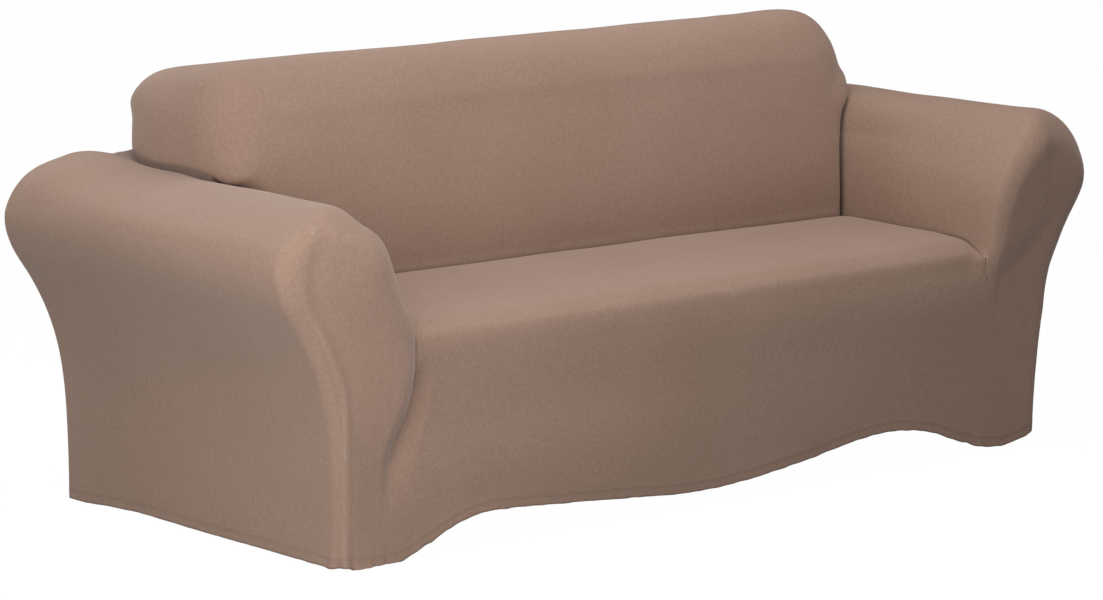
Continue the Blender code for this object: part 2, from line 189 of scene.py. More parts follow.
# %% Sizes
def mm(table):
    """A table written in millimetres, in metres."""
    return np.array(table) / 1000.0


DEPTH = 0.870
SEAT_HALF = 0.768
BACK_HALF = 0.852
BACK_TOP = 0.862
TOP_FALL = 0.024
SEAT_HEIGHT = 0.445
FRONT = -DEPTH / 2
REAR = DEPTH / 2
ARM_LINE = FRONT + 0.030
THICKNESS = 0.0016  # the knit, a little thinner than its solid
MERGE = 0.00005

# The arm's section: how far out from SEAT_HALF, height, radius of its round front end, and how far that end
# stands in front of ARM_LINE.
ARM_SECTION = mm([
    (0, 405, 48, 18), (0, 439, 48, 20), (-4, 510, 54, 26),
    (-1, 575, 62, 30), (12, 630, 70, 30), (42, 668, 76, 28),
    (84, 689, 80, 26), (138, 694, 80, 24), (180, 692, 78, 22),
    (230, 677, 76, 20), (275, 649, 74, 20), (309, 610, 74, 20),
    (324, 566, 74, 20), (317, 522, 74, 20), (294, 480, 72, 18),
    (266, 440, 68, 16), (240, 396, 62, 14), (218, 350, 54, 12),
    (201, 302, 46, 10), (189, 251, 40, 8), (182, 195, 36, 6),
    (177, 123, 34, 4), (175, 51, 33, 2), (174, 0, 32, 2),
])
ROLL_FALLS = (4, mm([2, 6, 12, 13, 21, 14, 4]))  # from a row on: the rear is lower by
# The two fronts are not quite alike. The near one has a tight outer edge, the far one a tight inner edge.
EDGE_RADII = {  # from a row on: the radii that differ
    -1: (7, mm([66, 52, 44, 40, 40, 40, 40, 40, 38, 36, 34, 34, 34, 33])),
    1: (0, mm([24, 26, 34, 40, 46, 50, 58, 68])),
}
LEANS = {  # from a row on: how much further out the front is than the rear
    -1: (0, mm([0, 5, 36, 64, 86, 86, 62, 46, 34, 20, 8])),
    1: (0, mm([0, 12, 20, 38, 70, 78, 60, 46, 34, 20, 8])),
}
JOIN_ROW = 6  # runs under the end of the back
CREST_ROW = 7  # the top of the roll, where the facing has its tip
ARM_CHANGE = 0.42  # the front section has become the rear one this far behind ARM_LINE

# The back's face: height, how far behind ARM_LINE, and the radius of its round side.
BACK_FACE = mm([
    (405, 412, 26), (439, 412, 26), (510, 408, 26), (575, 415, 28),
    (630, 427, 32), (669, 437, 44), (688, 442, 56), (757, 462, 88),
    (805, 476, 86), (862, 492, 70),
])
BACK_CORNER = 0.112
BACK_REAR = mm([(675, 185), (757, 165), (862, 100)])  # height, depth of the round edge behind it

# The seam between the front drop and a facing: height, and how far out.
FACING_SEAM = mm([
    (0, 838), (103, 834), (164, 824), (225, 804), (285, 784), (345, 772),
    (405, 768),
])
LOW_HEIGHTS = mm([360, 320, 280, 240, 200, 150, 100, 50, 0])
FADES = {-1: (0.10, 0.30), 1: (0.33, 0.40)}  # the tuck beside the drop is gone below, and whole above

# The elasticated hem along the front: how far along, and height.
FRONT_HEM = mm([
    (-946, 0), (-825, 0), (-785, 3), (-740, 20), (-690, 45), (-660, 58),
    (-590, 68), (-490, 61), (-330, 50), (-180, 37), (-70, 29), (40, 30),
    (150, 39), (270, 54), (380, 71), (460, 80), (560, 74), (620, 61),
    (680, 38), (740, 18), (790, 5), (820, 1), (946, 0),
])
HEM_REACH = 0.24
REAR_HEM_RISE = 0.020
SEAT_FRONT_RADIUS = 0.060
SEAT_EDGE_RADIUS = 0.016
SEAT_CORNER = 0.035
TUCK = 0.018
RUNGS = ((0.0, 0.0), (0.5, 0.0), (1.0, 0.0), (1.0, TUCK))  # over the seat's edge: share of the turn, and tuck
BACK_PLANE = 0.412
REAR_RADIUS = 0.020
JOIN_DROP = 0.014

QUARTER = np.pi / 2
FRONT_TURNS = np.radians([65.0, 40.0, 18.0, 0.0])
FACING_TURNS = np.radians([0.0, 12.0, 25.0])
OUTER_TURNS = np.radians([65.0, 78.0, 90.0])
EDGE_TURNS = np.radians([0.0, 30.0, 60.0, 90.0])
SEAT_FRONT_TURNS = np.radians([0.0, 22.5, 45.0, 67.5, 90.0])
BACK_REAR_TURNS = np.radians([0.0, 20.0, 40.0, 60.0])
CORNER_TURNS = np.radians([0.0, 18.0, 36.0, 54.0, 72.0, 90.0])
ARM_STATIONS = ARM_LINE + mm([90, 130, 175, 220, 265, 310, 355])
SEAT_STATIONS = ARM_LINE + mm([90, 140, 190, 240, 290, 335])
FACE_TOP = 0.785  # where the face of the back starts to turn over its top
REAR_COUNT = 6  # rungs between the end of the back and the round edge behind it
BACK_COLUMNS = 25
SEAT_COLUMNS = 25
FACING_COLUMNS = 9
TIP_PULL = 0.6  # how far the first row under a facing's tip is drawn together
DROP_BEHIND = -0.002  # the front drop's place behind ARM_LINE where it has no tuck
DROP_TUCKED = 0.013  # how much further behind it is with one
PANELS = (
    "seat_front", "inside_back", "outside_back", "arm_left", "arm_right", "arm_front_left", "arm_front_right",
)
FACINGS = (5, 6)  # by their numbers in PANELS
ARMS = (3, 4)
print("sections:", len(ARM_SECTION), "rows on an arm,", len(BACK_FACE), "on the back")


# %% Reading the tables
def look_up(table, at, index=1):
    """A column of a table at a place between its rows."""
    return float(np.interp(at, table[:, 0], table[:, index]))


def smoothstep(low, high, values):
    share = np.clip((values - low) / (high - low), 0.0, 1.0)
    return share * share * (3.0 - 2.0 * share)


def fade(height, side):
    """From 0 where the tuck beside the front drop has gone to 1 where it is whole."""
    return float(smoothstep(*FADES[side], height))


def outline_normals(points):
    """Normals of the arm's section towards the inside of the arm."""
    along = np.gradient(points, axis=0)
    inwards = np.column_stack((along[:, 1], -along[:, 0]))
    return inwards / np.linalg.norm(inwards, axis=1)[:, None]


def replaced(values, first, others):
    """A copy of the values, with others in their place from the first row on."""
    values = np.array(values)
    values[first:first + len(others)] = others
    return values


SECTION_X, SECTION_Z, SECTION_RADII, SECTION_STANDS = ARM_SECTION.T
SECTION_X = SEAT_HALF + SECTION_X
NONE = np.zeros(len(ARM_SECTION))
ARM_REAR = np.column_stack((SECTION_X, SECTION_Z - replaced(NONE, *ROLL_FALLS)))
REAR_INWARDS = outline_normals(ARM_REAR)
ARM_FORE = {}
FORE_INWARDS = {}
FRONT_RADII = {}
for end in (-1, 1):
    ARM_FORE[end] = np.column_stack((SECTION_X + replaced(NONE, *LEANS[end]), SECTION_Z))
    FORE_INWARDS[end] = outline_normals(ARM_FORE[end])
    FRONT_RADII[end] = replaced(SECTION_RADII, *EDGE_RADII[end])


def between(start, end, count):
    """Points spaced evenly from start to end, both included."""
    return [tuple(np.array(start) * (1.0 - t) + np.array(end) * t) for t in np.linspace(0.0, 1.0, count)]


def mirrored(points, side=-1):
    return [(side * x, y, z) for x, y, z in points]


# %% [markdown]
# ## The cage
#
# Each panel starts as a cage: a grid of points about 50 mm apart on the sofa's lines. All seven cages are sewn
# into one before it is made smooth, because a seam between two separate smooth surfaces would gape.

# %% Points of an arm and of the back
def arm_front(side, row, turn):
    """A point on the round front end of an arm; turn is 0 on its side and a quarter turn on its front."""
    radius = FRONT_RADII[side][row]
    x, z = ARM_FORE[side][row] + FORE_INWARDS[side][row] * radius * (1.0 - np.cos(turn))
    return (x, ARM_LINE - SECTION_STANDS[row] + radius * (1.0 - np.sin(turn)), z)


def arm_along(side, row, y):
    share = float(np.clip((y - ARM_LINE) / ARM_CHANGE, 0.0, 1.0))
    x, z = ARM_FORE[side][row] * (1.0 - share) + ARM_REAR[row] * share
    return (x, y, z)


def arm_rear(row, turn):
    x, z = ARM_REAR[row] + REAR_INWARDS[row] * REAR_RADIUS * (1.0 - np.cos(turn))
    return (x, REAR - REAR_RADIUS * (1.0 - np.sin(turn)), z)


def back_rear(x, z, out_x, out_z, turn):
    """A point on the round edge behind the back, from its side or top round to the seam."""
    depth = look_up(BACK_REAR, z)
    radius = depth / np.sin(BACK_REAR_TURNS[-1])
    inset = radius * (1.0 - np.cos(turn))
    return (x - out_x * inset, REAR - depth + radius * np.sin(turn), z - out_z * (inset + TOP_FALL))


def join_rear(turn):
    """The same at the foot of the back, where it rounds the rear of an arm."""
    x, y, z = back_rear(*ARM_REAR[JOIN_ROW], 1.0, 0.0, turn)
    return (x, y, z - JOIN_DROP * (1.0 - np.cos(turn)))


def back_face(height):
    return ARM_LINE + look_up(BACK_FACE, height, 1)


def back_outline():
    """One side of the back, from its tuck to its top: x, z and the outward direction of each point."""
    outline = [(*ARM_REAR[row], 1.0, 0.0) for row in range(JOIN_ROW + 1)]
    for turn in CORNER_TURNS:
        x = BACK_HALF - BACK_CORNER * (1.0 - np.cos(turn))
        z = BACK_TOP - BACK_CORNER * (1.0 - np.sin(turn))
        outline.append((x, z, np.cos(turn), np.sin(turn)))
    return outline


# %% Cages of the arms
def arm_cage(side):
    """Inside arm, roll and outside arm, from the facing to the outside back."""
    last = len(ARM_SECTION)
    depths = [back_face(z) + look_up(BACK_FACE, z, 2) for x, z in ARM_REAR[:JOIN_ROW + 1]]
    join_depth = depths[-1]
    fore = []
    for row in range(last):
        end = depths[min(row, JOIN_ROW)]
        points = [arm_front(side, row, turn) for turn in FRONT_TURNS]
        points += [arm_along(side, row, y) for y in (*ARM_STATIONS, end)]
        fore.append(points)
    join = arm_along(side, JOIN_ROW, join_depth)
    aft = [between(join, join_rear(0.0), REAR_COUNT)[:-1] + [join_rear(turn) for turn in BACK_REAR_TURNS]]
    for row in range(JOIN_ROW + 1, last):
        points = between(arm_along(side, row, join_depth), arm_rear(row, 0.0), REAR_COUNT)[:-1]
        aft.append(points + [arm_rear(row, turn) for turn in EDGE_TURNS])
    return [[mirrored(points, side) for points in rows] for rows in (fore, aft)]


def drawn_up(points):
    """The cloth over the front hem takes up the rise of the hem."""
    return [(x, y, z + look_up(FRONT_HEM, x) * max(0.0, 1.0 - z / HEM_REACH)) for x, y, z in points]


def front_drop(height, side):
    """Where the front drop hangs at one of its ends."""
    return ARM_LINE + DROP_BEHIND + DROP_TUCKED * fade(height, side)


def facing_inner(height, side, turn_share, tuck=0.0):
    """A point on a facing's inner edge below the seat, turn_share of the way round to its seam."""
    whole = fade(height, side) * QUARTER
    turn = whole * turn_share
    radius = FRONT_RADII[side][0]
    plane = front_drop(height, side) - (radius - SEAT_EDGE_RADIUS) * (1.0 - np.cos(whole))
    flat = look_up(FACING_SEAM, height) + radius * np.sin(whole) + TUCK * np.cos(whole)
    x = flat - radius * np.sin(turn) - tuck * np.cos(turn)
    y = plane + radius * (1.0 - np.cos(turn)) + tuck * np.sin(turn)
    return (x, y, height)


def facing_cage(side):
    """The facing on an arm's front end, from a tip on the roll down to the hem."""
    main = []
    tuck = []
    for k in range(len(ARM_SECTION) - CREST_ROW):
        outer = [arm_front(side, CREST_ROW + k, turn) for turn in OUTER_TURNS]
        row = CREST_ROW - k
        if row >= 0:
            inner = [arm_front(side, row, QUARTER - turn) for turn in FACING_TURNS]
        else:
            height = LOW_HEIGHTS[-row - 1]
            inner = [facing_inner(height, side, share) for share in FACING_TURNS / QUARTER]
        if k == 0:
            main.append([outer[0]] * FACING_COLUMNS)
            continue
        if k == 1:
            ends = np.array((outer[2], inner[0]))
            outer[2], inner[0] = map(tuple, ends.mean(axis=0) * TIP_PULL + ends * (1.0 - TIP_PULL))
        middle_count = FACING_COLUMNS - len(outer) - len(inner) + 2
        main.append(outer + between(outer[2], inner[0], middle_count)[1:-1] + inner)
        if row == 0:
            edge = [arm_front(side, 0, turn) for turn in FRONT_TURNS]
            edge.append((edge[-1][0], edge[-1][1] + TUCK, edge[-1][2]))
            tuck.append(edge)
        elif row < 0:
            edge = [facing_inner(height, side, share) for share in 1.0 - FRONT_TURNS / QUARTER]
            edge.append(facing_inner(height, side, 1.0, TUCK))
            tuck.append(edge)
    return [[drawn_up(mirrored(points, side)) for points in rows] for rows in (main, tuck)]


# %% Cages of the seat and the back
def tray_rows(left_ladders, right_ladders, middle_count):
    """Rows of a panel that turns down along its sides and top; each ladder runs out to the panel's edge."""
    rows = []
    for left, right in zip(left_ladders, right_ladders):
        rows.append(left[:0:-1] + between(left[0], right[0], middle_count) + right[1:])
    top = [between(*rungs, middle_count) for rungs in zip(left_ladders[-1], right_ladders[-1])]
    return rows, top


def seat_profile(side):
    """The seat panel's run from the hem, up the front drop and back over the deck: y, z and outward y, z."""
    run = [(front_drop(height, side), height, -1.0, 0.0) for height in LOW_HEIGHTS[::-1]]
    hub_y = front_drop(SEAT_HEIGHT, side) + SEAT_FRONT_RADIUS
    hub_z = SEAT_HEIGHT - SEAT_FRONT_RADIUS
    for turn in SEAT_FRONT_TURNS:
        out_y, out_z = -np.cos(turn), np.sin(turn)
        run.append((hub_y + SEAT_FRONT_RADIUS * out_y, hub_z + SEAT_FRONT_RADIUS * out_z, out_y, out_z))
    run += [(y, SEAT_HEIGHT, 0.0, 1.0) for y in SEAT_STATIONS]
    return run


def seat_ladders(side):
    """The seat panel's edge on one side: each ladder runs from the flat out into the tuck."""
    ladders = []
    for y, z, out_y, out_z in seat_profile(side):
        whole = fade(z, side) * QUARTER
        flat = look_up(FACING_SEAM, z) - SEAT_EDGE_RADIUS * np.sin(whole) - TUCK * np.cos(whole)
        ladder = []
        for share, tuck in RUNGS:
            turn = share * whole
            x = flat + SEAT_EDGE_RADIUS * np.sin(turn) + tuck * np.cos(turn)
            sink = SEAT_EDGE_RADIUS * (1.0 - np.cos(turn)) + tuck * np.sin(turn)
            ladder.append((x, y - out_y * sink, z - out_z * sink))
        ladders.append(ladder)
    corner_x = SEAT_HALF - SEAT_CORNER
    corner_y = ARM_LINE + BACK_PLANE - SEAT_CORNER
    for around in EDGE_TURNS:
        ladder = []
        for share, tuck in RUNGS:
            turn = share * QUARTER
            reach = SEAT_CORNER - SEAT_EDGE_RADIUS * (1.0 - np.sin(turn))
            z = SEAT_HEIGHT - SEAT_EDGE_RADIUS * (1.0 - np.cos(turn)) - tuck
            ladder.append((corner_x + reach * np.cos(around), corner_y + reach * np.sin(around), z))
        ladders.append(ladder)
    return ladders


def seat_cage():
    """Seat deck and front drop in one panel; the lowest part of the drop takes up the rise of its hem."""
    left = [mirrored(ladder) for ladder in seat_ladders(-1)]
    rows, top = tray_rows(left, seat_ladders(1), SEAT_COLUMNS)
    return [[drawn_up(row) for row in rows], top]


def spanned(point):
    """Points across the back, from the mirror image of a point to the point itself."""
    return between(mirrored([point])[0], point, BACK_COLUMNS)


def inside_back_cage():
    """The back's face, with its top and ends carried to the rear seam."""
    ladders = []
    outline = back_outline()
    even = np.linspace(outline[JOIN_ROW][1], FACE_TOP, len(outline) - JOIN_ROW)
    for row, (x, z, out_x, out_z) in enumerate(outline):
        radius = look_up(BACK_FACE, z, 2)
        spread = even[row - JOIN_ROW] - (z - out_z * radius) if row > JOIN_ROW else 0.0
        ladder = []
        for turn in EDGE_TURNS:
            inset = radius * (1.0 - np.sin(turn))
            height = z - out_z * inset + spread * (1.0 - np.sin(turn)) ** 2
            ladder.append((x - out_x * inset, back_face(height) + radius * (1.0 - np.cos(turn)), height))
        ladders.append(ladder)
    rows, top = tray_rows([mirrored(ladder) for ladder in ladders], ladders, BACK_COLUMNS)
    edge = []
    for point, ladder in list(zip(outline, ladders))[JOIN_ROW:]:
        if edge:
            rear = [back_rear(*point, turn) for turn in BACK_REAR_TURNS]
        else:
            rear = [join_rear(turn) for turn in BACK_REAR_TURNS]
        edge.append(between(ladder[-1], rear[0], REAR_COUNT)[:-1] + rear)
    over = [list(points) for points in zip(*[spanned(point) for point in edge[-1]])]
    strip = [mirrored(points) for points in edge[:-1]] + over + edge[-2::-1]
    return [rows, top, strip]


def outside_back_cage():
    """The flat rear panel, whose outline follows the arms and the back."""
    edge = [arm_rear(row, EDGE_TURNS[-1]) for row in range(len(ARM_SECTION) - 1, JOIN_ROW, -1)]
    edge.append(join_rear(BACK_REAR_TURNS[-1]))
    edge += [back_rear(*point, BACK_REAR_TURNS[-1]) for point in back_outline()[JOIN_ROW + 1:]]
    rows = [spanned(point) for point in edge]
    half = rows[0][-1][0]
    rows[0] = [(x, y, z + REAR_HEM_RISE * (1.0 - (x / half) ** 2) ** 2) for x, y, z in rows[0]]
    return [rows]


# %% Sew the cages together
def add_grid(cage, layer, rows, panel):
    """Adds a grid of four-sided faces, marked with its panel; its flat size in metres goes into the layer."""
    places = np.array(rows)
    steps = np.linalg.norm(np.diff(places, axis=1), axis=2)
    across = np.concatenate((np.zeros((len(rows), 1)), np.cumsum(steps, axis=1)), axis=1)
    middle = places.shape[1] // 2
    across -= across[:, middle:middle + 1]
    rises = np.linalg.norm(np.diff(places[:, middle], axis=0), axis=1)
    up = np.concatenate(([0.0], np.cumsum(rises)))
    grid = [[cage.verts.new(point) for point in row] for row in rows]
    for r in range(len(rows) - 1):
        for c in range(places.shape[1] - 1):
            corners = ((r, c), (r, c + 1), (r + 1, c + 1), (r + 1, c))
            face = cage.faces.new([grid[i][j] for i, j in corners])
            face.material_index = panel
            for loop, (i, j) in zip(face.loops, corners):
                loop[layer].uv = (across[i, j], up[i])


# How sharply the surface turns at a seam, from 0 to 1, by the first words of the names of its two panels.
CREASES = {
    ("arm", "inside"): 1.0, ("arm", "seat"): 1.0, ("inside", "outside"): 0.35, ("arm", "outside"): 0.35,
}
CREASE_FOOT = 0.19  # the tucks beside the front drop have opened out below this height


def sew_cages():
    cages = [seat_cage(), inside_back_cage(), outside_back_cage()]
    cages += [arm_cage(-1), arm_cage(1), facing_cage(-1), facing_cage(1)]
    cage = bmesh.new()
    layer = cage.loops.layers.uv.new("flat")
    for panel, grids in enumerate(cages):
        for rows in grids:
            add_grid(cage, layer, rows, panel)
    bmesh.ops.remove_doubles(cage, verts=cage.verts, dist=MERGE)
    bmesh.ops.dissolve_degenerate(cage, edges=cage.edges, dist=MERGE)
    bmesh.ops.recalc_face_normals(cage, faces=cage.faces)
    crease = cage.edges.layers.float.new("crease_edge")
    for edge in cage.edges:
        marks = sorted({PANELS[face.material_index].split("_")[0] for face in edge.link_faces})
        high = min(vert.co.z for vert in edge.verts) > CREASE_FOOT
        edge[crease] = CREASES.get(tuple(marks), 0.0) if high else 0.0
    mesh = bpy.data.meshes.new("cage")
    cage.to_mesh(mesh)
    cage.free()
    for name in PANELS:
        mesh.materials.append(bpy.data.materials.new("mark_" + name))
    return mesh


cage = sew_cages()
print("cage:", len(cage.vertices), "points,", len(cage.polygons), "faces")

# %% [markdown]
# ## The smooth surface
#
# Subdivision draws a smooth surface inside its cage, a few millimetres short of the sofa's lines on a round
# edge. So the cage is pushed out by what is missing. What is missing is shared with the neighbouring points
# first: cloth in tension bridges a small step in what it covers.

# %% Smooth
LEVELS = 3
SHARINGS = 3


def made_real(item):
    """The mesh that an object's modifiers make of it; the object goes."""
    mesh = bpy.data.meshes.new_from_object(item.evaluated_get(bpy.context.evaluated_depsgraph_get()))
    bpy.data.objects.remove(item)
    return mesh


def smoothed(mesh, levels):
    item = placed("smoothing", mesh)
    modifier = item.modifiers.new("smooth", "SUBSURF")
    modifier.levels = modifier.render_levels = levels
    modifier.uv_smooth = "NONE"
    modifier.boundary_smooth = "PRESERVE_CORNERS"
    modifier.use_limit_surface = True
    return made_real(item)


def numbers_of(items, field, width=1, kind=float):
    """One number, or one row of numbers, from each item of a mesh."""
    flat = np.empty(len(items) * width, dtype=kind)
    items.foreach_get(field, flat)
    return flat.reshape(-1, width) if width > 1 else flat


def places_of(mesh):
    return numbers_of(mesh.vertices, "co", 3)


def normals_of(mesh):
    return numbers_of(mesh.vertex_normals, "vector", 3)


def edges_of(mesh):
    return numbers_of(mesh.edges, "vertices", 2, int)


def move_to(mesh, places):
    mesh.vertices.foreach_set("co", places.ravel())
    mesh.update()


def shared_out(values, edges, rounds):
    """Averages each point's values with those of the points it is joined to, a few times over."""
    ends = np.concatenate((edges, edges[:, ::-1]))
    joined = np.maximum(np.bincount(ends[:, 0], minlength=len(values)), 1)[:, None]
    for turn in range(rounds):
        parts = [np.bincount(ends[:, 0], part[ends[:, 1]], len(values)) for part in values.T]
        values = (values + np.column_stack(parts) / joined) / 2.0
    return values


def surface_over(mesh):
    """The smooth surface, pushed out on round edges but not at a crease nor on the facings."""
    wanted = places_of(mesh)
    edges = edges_of(mesh)
    creased = numbers_of(mesh.attributes["crease_edge"].data, "value") > 0.5
    on_facings = [list(face.vertices) for face in mesh.polygons if face.material_index in FACINGS]
    trial = smoothed(mesh, 1)
    missing = wanted - places_of(trial)[:len(wanted)]
    missing[np.concatenate((edges[creased].ravel(), *on_facings))] = 0.0
    bpy.data.meshes.remove(trial)
    move_to(mesh, wanted + shared_out(missing, edges, SHARINGS))
    print("off its points by", round(float(np.linalg.norm(missing, axis=1).mean()) * 1000, 2), "mm")
    return smoothed(mesh, LEVELS)


cover = surface_over(cage)
print("surface:", len(cover.vertices), "points,", len(cover.polygons), "faces")

# %% [markdown]
# ## Measuring along the cloth
#
# Folds, seams and the hem all need to know how far a point is from a line. A line is given by a few points
# and drawn as a soft curve through them.


# %% Lines on the cloth
def gone(low, high, values):
    """The other way round: from 1 at the low value to 0 at the high one."""
    return 1.0 - smoothstep(low, high, values)


def bell(values, centre, width):
    return np.exp(-((values - centre) / width) ** 2)


def soft_line(points, parts=6):
    """A curve through the points, as a chain of short straight parts."""
    path = np.array(points, dtype=float)
    path = np.vstack((2 * path[0] - path[1], path, 2 * path[-1] - path[-2]))
    chain = [path[1]]
    for a, b, c, d in zip(path, path[1:], path[2:], path[3:]):
        for t in np.linspace(0.0, 1.0, parts + 1)[1:]:
            tangent = (c - a) * t + (2 * a - 5 * b + 4 * c - d) * t * t + (3 * b - a - 3 * c + d) * t ** 3
            chain.append(b + tangent / 2)
    return np.array(chain)


def beside(places, path):
    """How far each place is from a chain of points, how far along it that is, and the whole length."""
    nearest = np.full(len(places), np.inf)
    along = np.zeros(len(places))
    length = 0.0
    for start, end in zip(path, path[1:]):
        step = end - start
        size = np.linalg.norm(step)
        share = np.clip((places - start) @ step / size ** 2, 0.0, 1.0)
        away = np.linalg.norm(places - start - share[:, None] * step, axis=1)
        closer = away < nearest
        nearest[closer] = away[closer]
        along[closer] = length + share[closer] * size
        length += size
    return nearest, along, length


def fold(places, points, width, height, ends=0.04):
    """A soft ridge along a line, or a trough where the height is negative; it dies away at both ends."""
    away, along, length = beside(places, soft_line(points))
    height = height * smoothstep(0.0, ends, along) * smoothstep(0.0, ends, length - along)
    return height * bell(away, 0.0, width)


def swell(places, centre, reach, height):
    """A soft rise round a point; reach is one size, or one for each axis."""
    away = np.linalg.norm((places - np.array(centre)) / np.array(reach), axis=1)
    return height * bell(away, 0.0, 1.0)


def distance_to(places, points):
    """The distance from each place to the nearest of many points."""
    tree = KDTree(len(points))
    for number, point in enumerate(points):
        tree.insert(point, number)
    tree.balance()
    return np.array([tree.find(place)[2] for place in places])


# %% Seams and hem
HEM_TOP = 0.12  # an open edge below this height is the hem, above it a tuck
FACES = numbers_of(cover.loops, "vertex_index", 1, int).reshape(-1, 4)
OWNERS = numbers_of(cover.polygons, "material_index", 1, int)  # the panel of each face


def sides_of(faces):
    """The four sides of every face, in the direction of the face."""
    return np.concatenate([faces[:, [k, (k + 1) % 4]] for k in range(4)])


def counted(sides):
    """Every edge once, which edge each side lies on, and how many faces have the edge."""
    edges, which, count = np.unique(np.sort(sides, axis=1), axis=0, return_inverse=True, return_counts=True)
    return edges, which.ravel(), count


def edge_points(places, parts=4):
    """Points along every seam, along the join of arms and back, along every tuck, and along the hem."""
    edges, which, count = counted(sides_of(FACES))
    lowest = np.full(len(edges), len(PANELS))
    highest = np.full(len(edges), -1)
    np.minimum.at(lowest, which, np.tile(OWNERS, 4))
    np.maximum.at(highest, which, np.tile(OWNERS, 4))
    low = places[edges][:, :, 2].max(axis=1) < HEM_TOP
    seam = lowest != highest
    join = (lowest == PANELS.index("inside_back")) & np.isin(highest, ARMS)
    shares = np.linspace(0.0, 1.0, parts, endpoint=False)[:, None, None]
    lines = []
    for chosen in (seam, join, (count == 1) & ~low, (count == 1) & low):
        start, end = places[edges[chosen].T]
        lines.append((start * (1.0 - shares) + end * shares).reshape(-1, 3))
    return lines


places = places_of(cover)
lines = edge_points(places)
from_seam, from_join, from_tuck, from_hem = [distance_to(places, line) for line in lines]
print("points along seams, joins, tucks and hem:", *map(len, lines))

# %% [markdown]
# ## Folds
#
# A stretch cover has few folds, and each has a cause. The near arm's facing is drawn tight, so its seam stands
# up as a round ridge with a hollow beside it. Where the back meets the arm the cloth is gathered into three
# short pleats. The elastic in the hem draws it up at the feet. Everything else is only a little uneven.

# %% Folds
LEFT_SEAM = mm([
    (-1000, -408, 652), (-1016, -411, 638), (-1040, -416, 587), (-1040, -413, 517),
    (-1011, -411, 468), (-961, -412, 380), (-942, -411, 323), (-936, -407, 228),
    (-931, -401, 116), (-930, -399, -40),
])
RIGHT_SEAM = mm([(944, -433, 640), (941, -430, 555), (926, -426, 504), (896, -423, 400)])
PLEATS = mm([(-852, 125), (-848, 98), (-836, 68)])
FOLDS = [  # line, width, height and how long it takes to die away: the seams, three pleats, a dent in the seat
    (LEFT_SEAM, 0.009, 0.0040, 0.04),
    (LEFT_SEAM[1:7] + mm([27, 0, 0]), 0.017, -0.0032, 0.08),
    (mm([(-1018, -385, 664), (-998, -411, 646), (-972, -425, 626)]), 0.006, -0.004, 0.02),
    (RIGHT_SEAM, 0.004, -0.0012, 0.04),
    *[([(x, y, 0.680), (x + 0.006, y - 0.004, 0.712), (x + 0.022, y - 0.008, 0.745)], 0.006, -0.0030, 0.03)
      for x, y in PLEATS],
    (mm([(10, -372, 432), (45, -380, 423), (85, -386, 414)]), 0.010, -0.0025, 0.02),
]
SWELLS = [  # centre, reach, height: the back's far corner, and the near facing
    ((0.690, 0.120, 0.860), (0.070, 0.080, 0.040), 0.004),
    ((-0.870, -0.420, 0.590), (0.060, 0.100, 0.060), 0.010),
]
RELAXED = [  # where the facings come to their tips, and where the far front tuck ends: place, reach, rounds
    ((-0.975, -0.415, 0.650), 0.045, 120),
    ((0.975, -0.415, 0.650), 0.045, 120),
    ((0.800, -0.400, 0.395), 0.030, 60),
]
RELAX_EDGE = 2.0  # no point further off than this many reaches moves
RELAX_MARGIN = 2.2
# How the cloth has settled: places along an axis, and how far the cloth has moved there. Pairs are near, far.
ROLL_RISES = (  # up, along Y
    mm([(-440, -380, -300, 100, 250, 350), (-18, -22, -21, -19, -9, 4)]),
    mm([(-440, -300, -100, 100, 430), (-4, 4, 14, 21, 18)]),
)
ROLL_ENDS = (  # outwards where the roll meets the back, along Z
    mm([(620, 650, 675, 695, 740, 800), (0, 14, 17, 14, 7, 4)]),
    mm([(400, 570, 620, 650, 690, 730, 800), (10, 13, 11, 0, -14, -8, 0)]),
)
ARM_SIDES = (  # the outside of the arm towards -X, along Z
    mm([(0, 250, 360, 460, 530, 580, 660), (5, 4, 0, -4, 0, 5, 3)]),
    mm([(280, 330, 370, 410, 470, 530, 600, 660), (0, 6, 9, 6, 6, 2, 6, 3)]),
)
DECK_RISE = mm([(-770, 770), (10, 4)])  # up, along X
SIDE_HEM_RISE = mm([(-400, -200, 0, 200, 300, 380), (5, 7, 8, 11, 7, 1)])  # along Y
FAR_FOOT_RISE = mm([(780, 820, 860, 900, 945), (0, 4, 9, 16, 32)])  # along X
PLEATS_SINK = 0.012
DECK_SINK = 0.006  # at its front edge
NEAR_FOOT_SINK = 0.004
BACK_TOP_RISE = 0.006
DROP_SHIFT = 0.011  # of the near end of the front drop
FURROW_SHIFT = 0.002  # of the foot of the back's face, forwards
# Where the front tucks end, by height: the X of the line, and the Y of the cloth over it and beside it.
FAR_LINE = mm([(355, 370), (774, 769)])
FAR_DIP = mm([(300, 365, 388, 400, 412, 422), (-406, -402, -396, -393, -388, -380)])
FAR_FLAT = -0.410
NEAR_LINE = mm([
    (110, 140, 165, 190, 216.5, 243, 270, 300, 340),
    (-832, -829, -823, -814, -803, -789, -778, -771, -768),
])
NEAR_DIP = mm([(110, 150, 200, 250, 300, 340), (-405.5, -400, -392.5, -386, -379, -370)])
NEAR_FLAT = mm([(110, 165, 216.5, 270, 340), (-406.3, -404, -400.7, -398, -396)])
DRAWN = 0.95  # how much of a tuck's depth the drawn cloth takes away
EDGE_REACH = 0.0015  # how near a tuck's edge the cloth is drawn shut, and how far behind the dip


